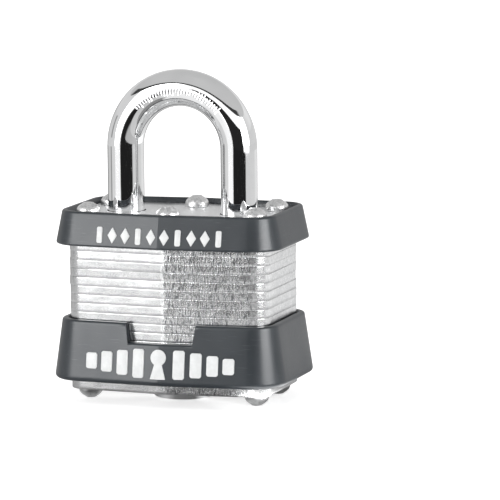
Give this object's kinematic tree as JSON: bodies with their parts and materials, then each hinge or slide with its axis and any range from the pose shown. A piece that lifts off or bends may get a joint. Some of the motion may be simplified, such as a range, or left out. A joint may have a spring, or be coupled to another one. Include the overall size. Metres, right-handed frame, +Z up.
{
  "type": "padlock",
  "caption": "Laminated steel padlock with a chromed round shackle, sloping plastic bumpers round the top and bottom of the case, riveted plates and a keyed plug in the base.",
  "frame": {"origin": "under the middle of the case, level with the flat lands of the bottom rivet heads that it stands on", "axes": "+Z up along the shackle legs, -Y out of the front face, +X to the right seen from the front, with the toe leg on +X"},
  "size_m": [0.0462, 0.0308, 0.0624],
  "materials": {
    "plate_steel": "zinc plated, sheared edges with vertical grain",
    "rivet_steel": "bright peened heads",
    "bumper_plastic": "moulded grey thermoplastic, soft sheen",
    "chrome": "polished chrome plate",
    "spring_steel": "drawn wire",
    "zinc": "die-cast zinc",
    "brass": "machined brass",
    "lever_steel": "hardened steel"
  },
  "bodies": {
    "case": {"bottom_plate": "plate_steel", "cylinder_plate_1": "plate_steel", "cylinder_plate_2": "plate_steel", "cylinder_plate_3": "plate_steel", "cylinder_plate_4": "plate_steel", "cylinder_plate_5": "plate_steel", "cylinder_plate_6": "plate_steel", "cylinder_plate_7": "plate_steel", "cylinder_plate_8": "plate_steel", "cylinder_plate_9": "plate_steel", "cam_plate_1": "plate_steel", "cam_plate_2": "plate_steel", "cam_plate_3": "plate_steel", "cam_plate_4": "plate_steel", "lever_plate_1": "plate_steel", "lever_plate_2": "plate_steel", "shackle_plate_1": "plate_steel", "shackle_plate_2": "plate_steel", "shackle_plate_3": "plate_steel", "top_plate": "plate_steel", "front_left_rivet": "rivet_steel", "front_right_rivet": "rivet_steel", "back_left_rivet": "rivet_steel", "back_right_rivet": "rivet_steel", "front_middle_rivet": "rivet_steel", "back_middle_rivet": "rivet_steel", "lower_bumper": "bumper_plastic", "upper_bumper": "bumper_plastic", "shackle_spring": "spring_steel", "cylinder_shell": "zinc", "driver_pin_1": "brass", "pin_spring_1": "spring_steel", "driver_pin_2": "brass", "pin_spring_2": "spring_steel", "driver_pin_3": "brass", "pin_spring_3": "spring_steel", "driver_pin_4": "brass", "pin_spring_4": "spring_steel", "pin_chamber_cover": "brass", "toe_lever_spring": "spring_steel", "heel_lever_spring": "spring_steel"},
    "shackle": {"shackle": "chrome"},
    "plug": {"plug": "brass", "cam": "zinc", "key_pin_1": "brass", "key_pin_2": "brass", "key_pin_3": "brass", "key_pin_4": "brass"},
    "toe_lever": {"toe_lever": "lever_steel"},
    "heel_lever": {"heel_lever": "lever_steel"}
  },
  "joints": [
    {"name": "shackle_lift", "type": "slide", "parent": "case", "child": "shackle", "axis": [0, 0, 1], "range_m": [0, 0.012], "deforming": ["shackle_spring"]},
    {"name": "plug_turn", "type": "hinge", "parent": "case", "child": "plug", "pos_m": [0, 0, 0.01], "axis": [0, 0, 1], "range_deg": [-90, 0]},
    {"name": "toe_lever_slide", "type": "slide", "parent": "case", "child": "toe_lever", "axis": [1, 0, 0], "range_m": [0, 0.00185], "deforming": ["toe_lever_spring"]},
    {"name": "heel_lever_slide", "type": "slide", "parent": "case", "child": "heel_lever", "axis": [-1, 0, 0], "range_m": [0, 0.00185], "deforming": ["heel_lever_spring"]}
  ],
  "couplings": [
    {"joint": "toe_lever_slide", "follows": "plug_turn", "m_per_rad": -0.0011704},
    {"joint": "heel_lever_slide", "follows": "plug_turn", "m_per_rad": -0.0011704}
  ]
}
